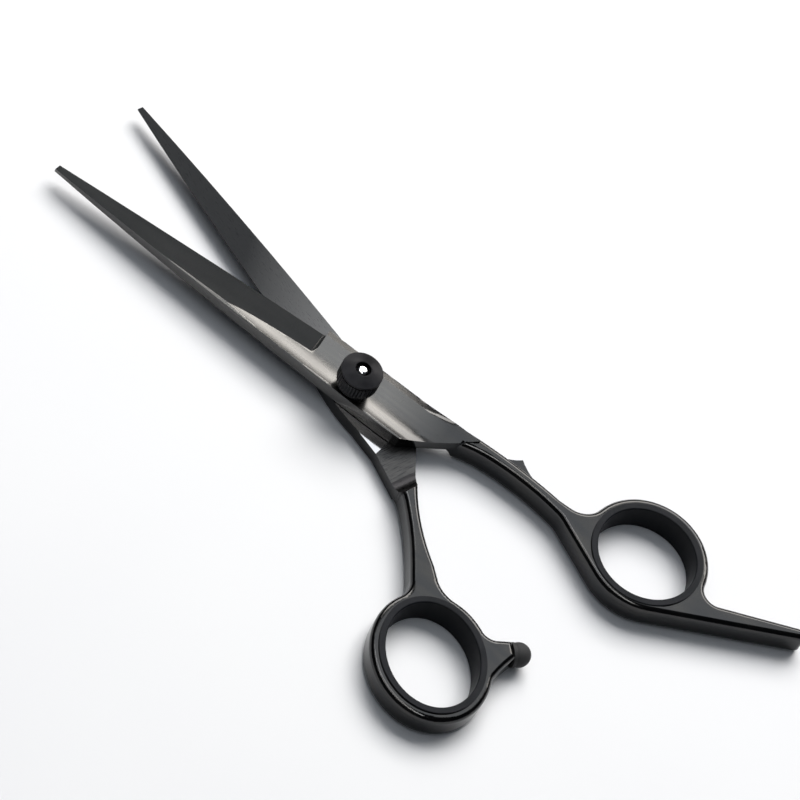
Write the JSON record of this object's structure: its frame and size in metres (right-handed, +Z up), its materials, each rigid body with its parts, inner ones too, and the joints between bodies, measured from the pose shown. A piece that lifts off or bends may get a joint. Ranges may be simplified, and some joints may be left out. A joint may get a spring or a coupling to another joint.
{
  "type": "hair cutting shears",
  "caption": "Black-coated hair cutting shears with offset rings, a fixed finger rest, a rubber stopper and a knurled tension knob.",
  "frame": {"origin": "pivot axis at the bottom face of the pivot screw's head, which lies on the table", "axes": "+X from the pivot along the finger half to the handles, +Y towards the finger ring's outer side, +Z up through the tension knob"},
  "size_m": [0.1736, 0.0795, 0.0125],
  "materials": {
    "black_steel": "black titanium-coated stainless steel, mirror polished with satin grinds",
    "ring_insert": "matt black rubber",
    "stopper_rubber": "matt black rubber",
    "plain_steel": "plain stainless steel",
    "polished_steel": "bright polished steel",
    "bronze": "plain bearing bronze",
    "brass_insert": "turned brass",
    "black_knob": "satin black anodised aluminium, straight knurled"
  },
  "bodies": {
    "finger_half": {"finger_blade": "black_steel", "finger_ring_insert": "ring_insert", "pivot_screw": "polished_steel", "blade_washer": "bronze", "head_washer": "plain_steel", "spring_washer": "plain_steel", "click_plate": "plain_steel"},
    "thumb_half": {"thumb_blade": "black_steel", "thumb_ring_insert": "ring_insert", "pivot_bushing": "bronze", "stopper_bumper": "stopper_rubber", "stopper_stud": "plain_steel"},
    "knob": {"tension_knob": "black_knob", "knob_thread_insert": "brass_insert", "detent_balls": "polished_steel", "detent_springs": "plain_steel"}
  },
  "joints": [
    {"name": "blade_pivot", "type": "hinge", "parent": "finger_half", "child": "thumb_half", "pos_m": [0, 0, 0.0033], "axis": [0, 0, 1], "range_deg": [-70.4, 19.6]},
    {"name": "knob_turn", "type": "hinge", "parent": "finger_half", "child": "knob", "pos_m": [0, 0, 0.009], "axis": [0, 0, 1], "range_deg": [-180, 180]}
  ]
}
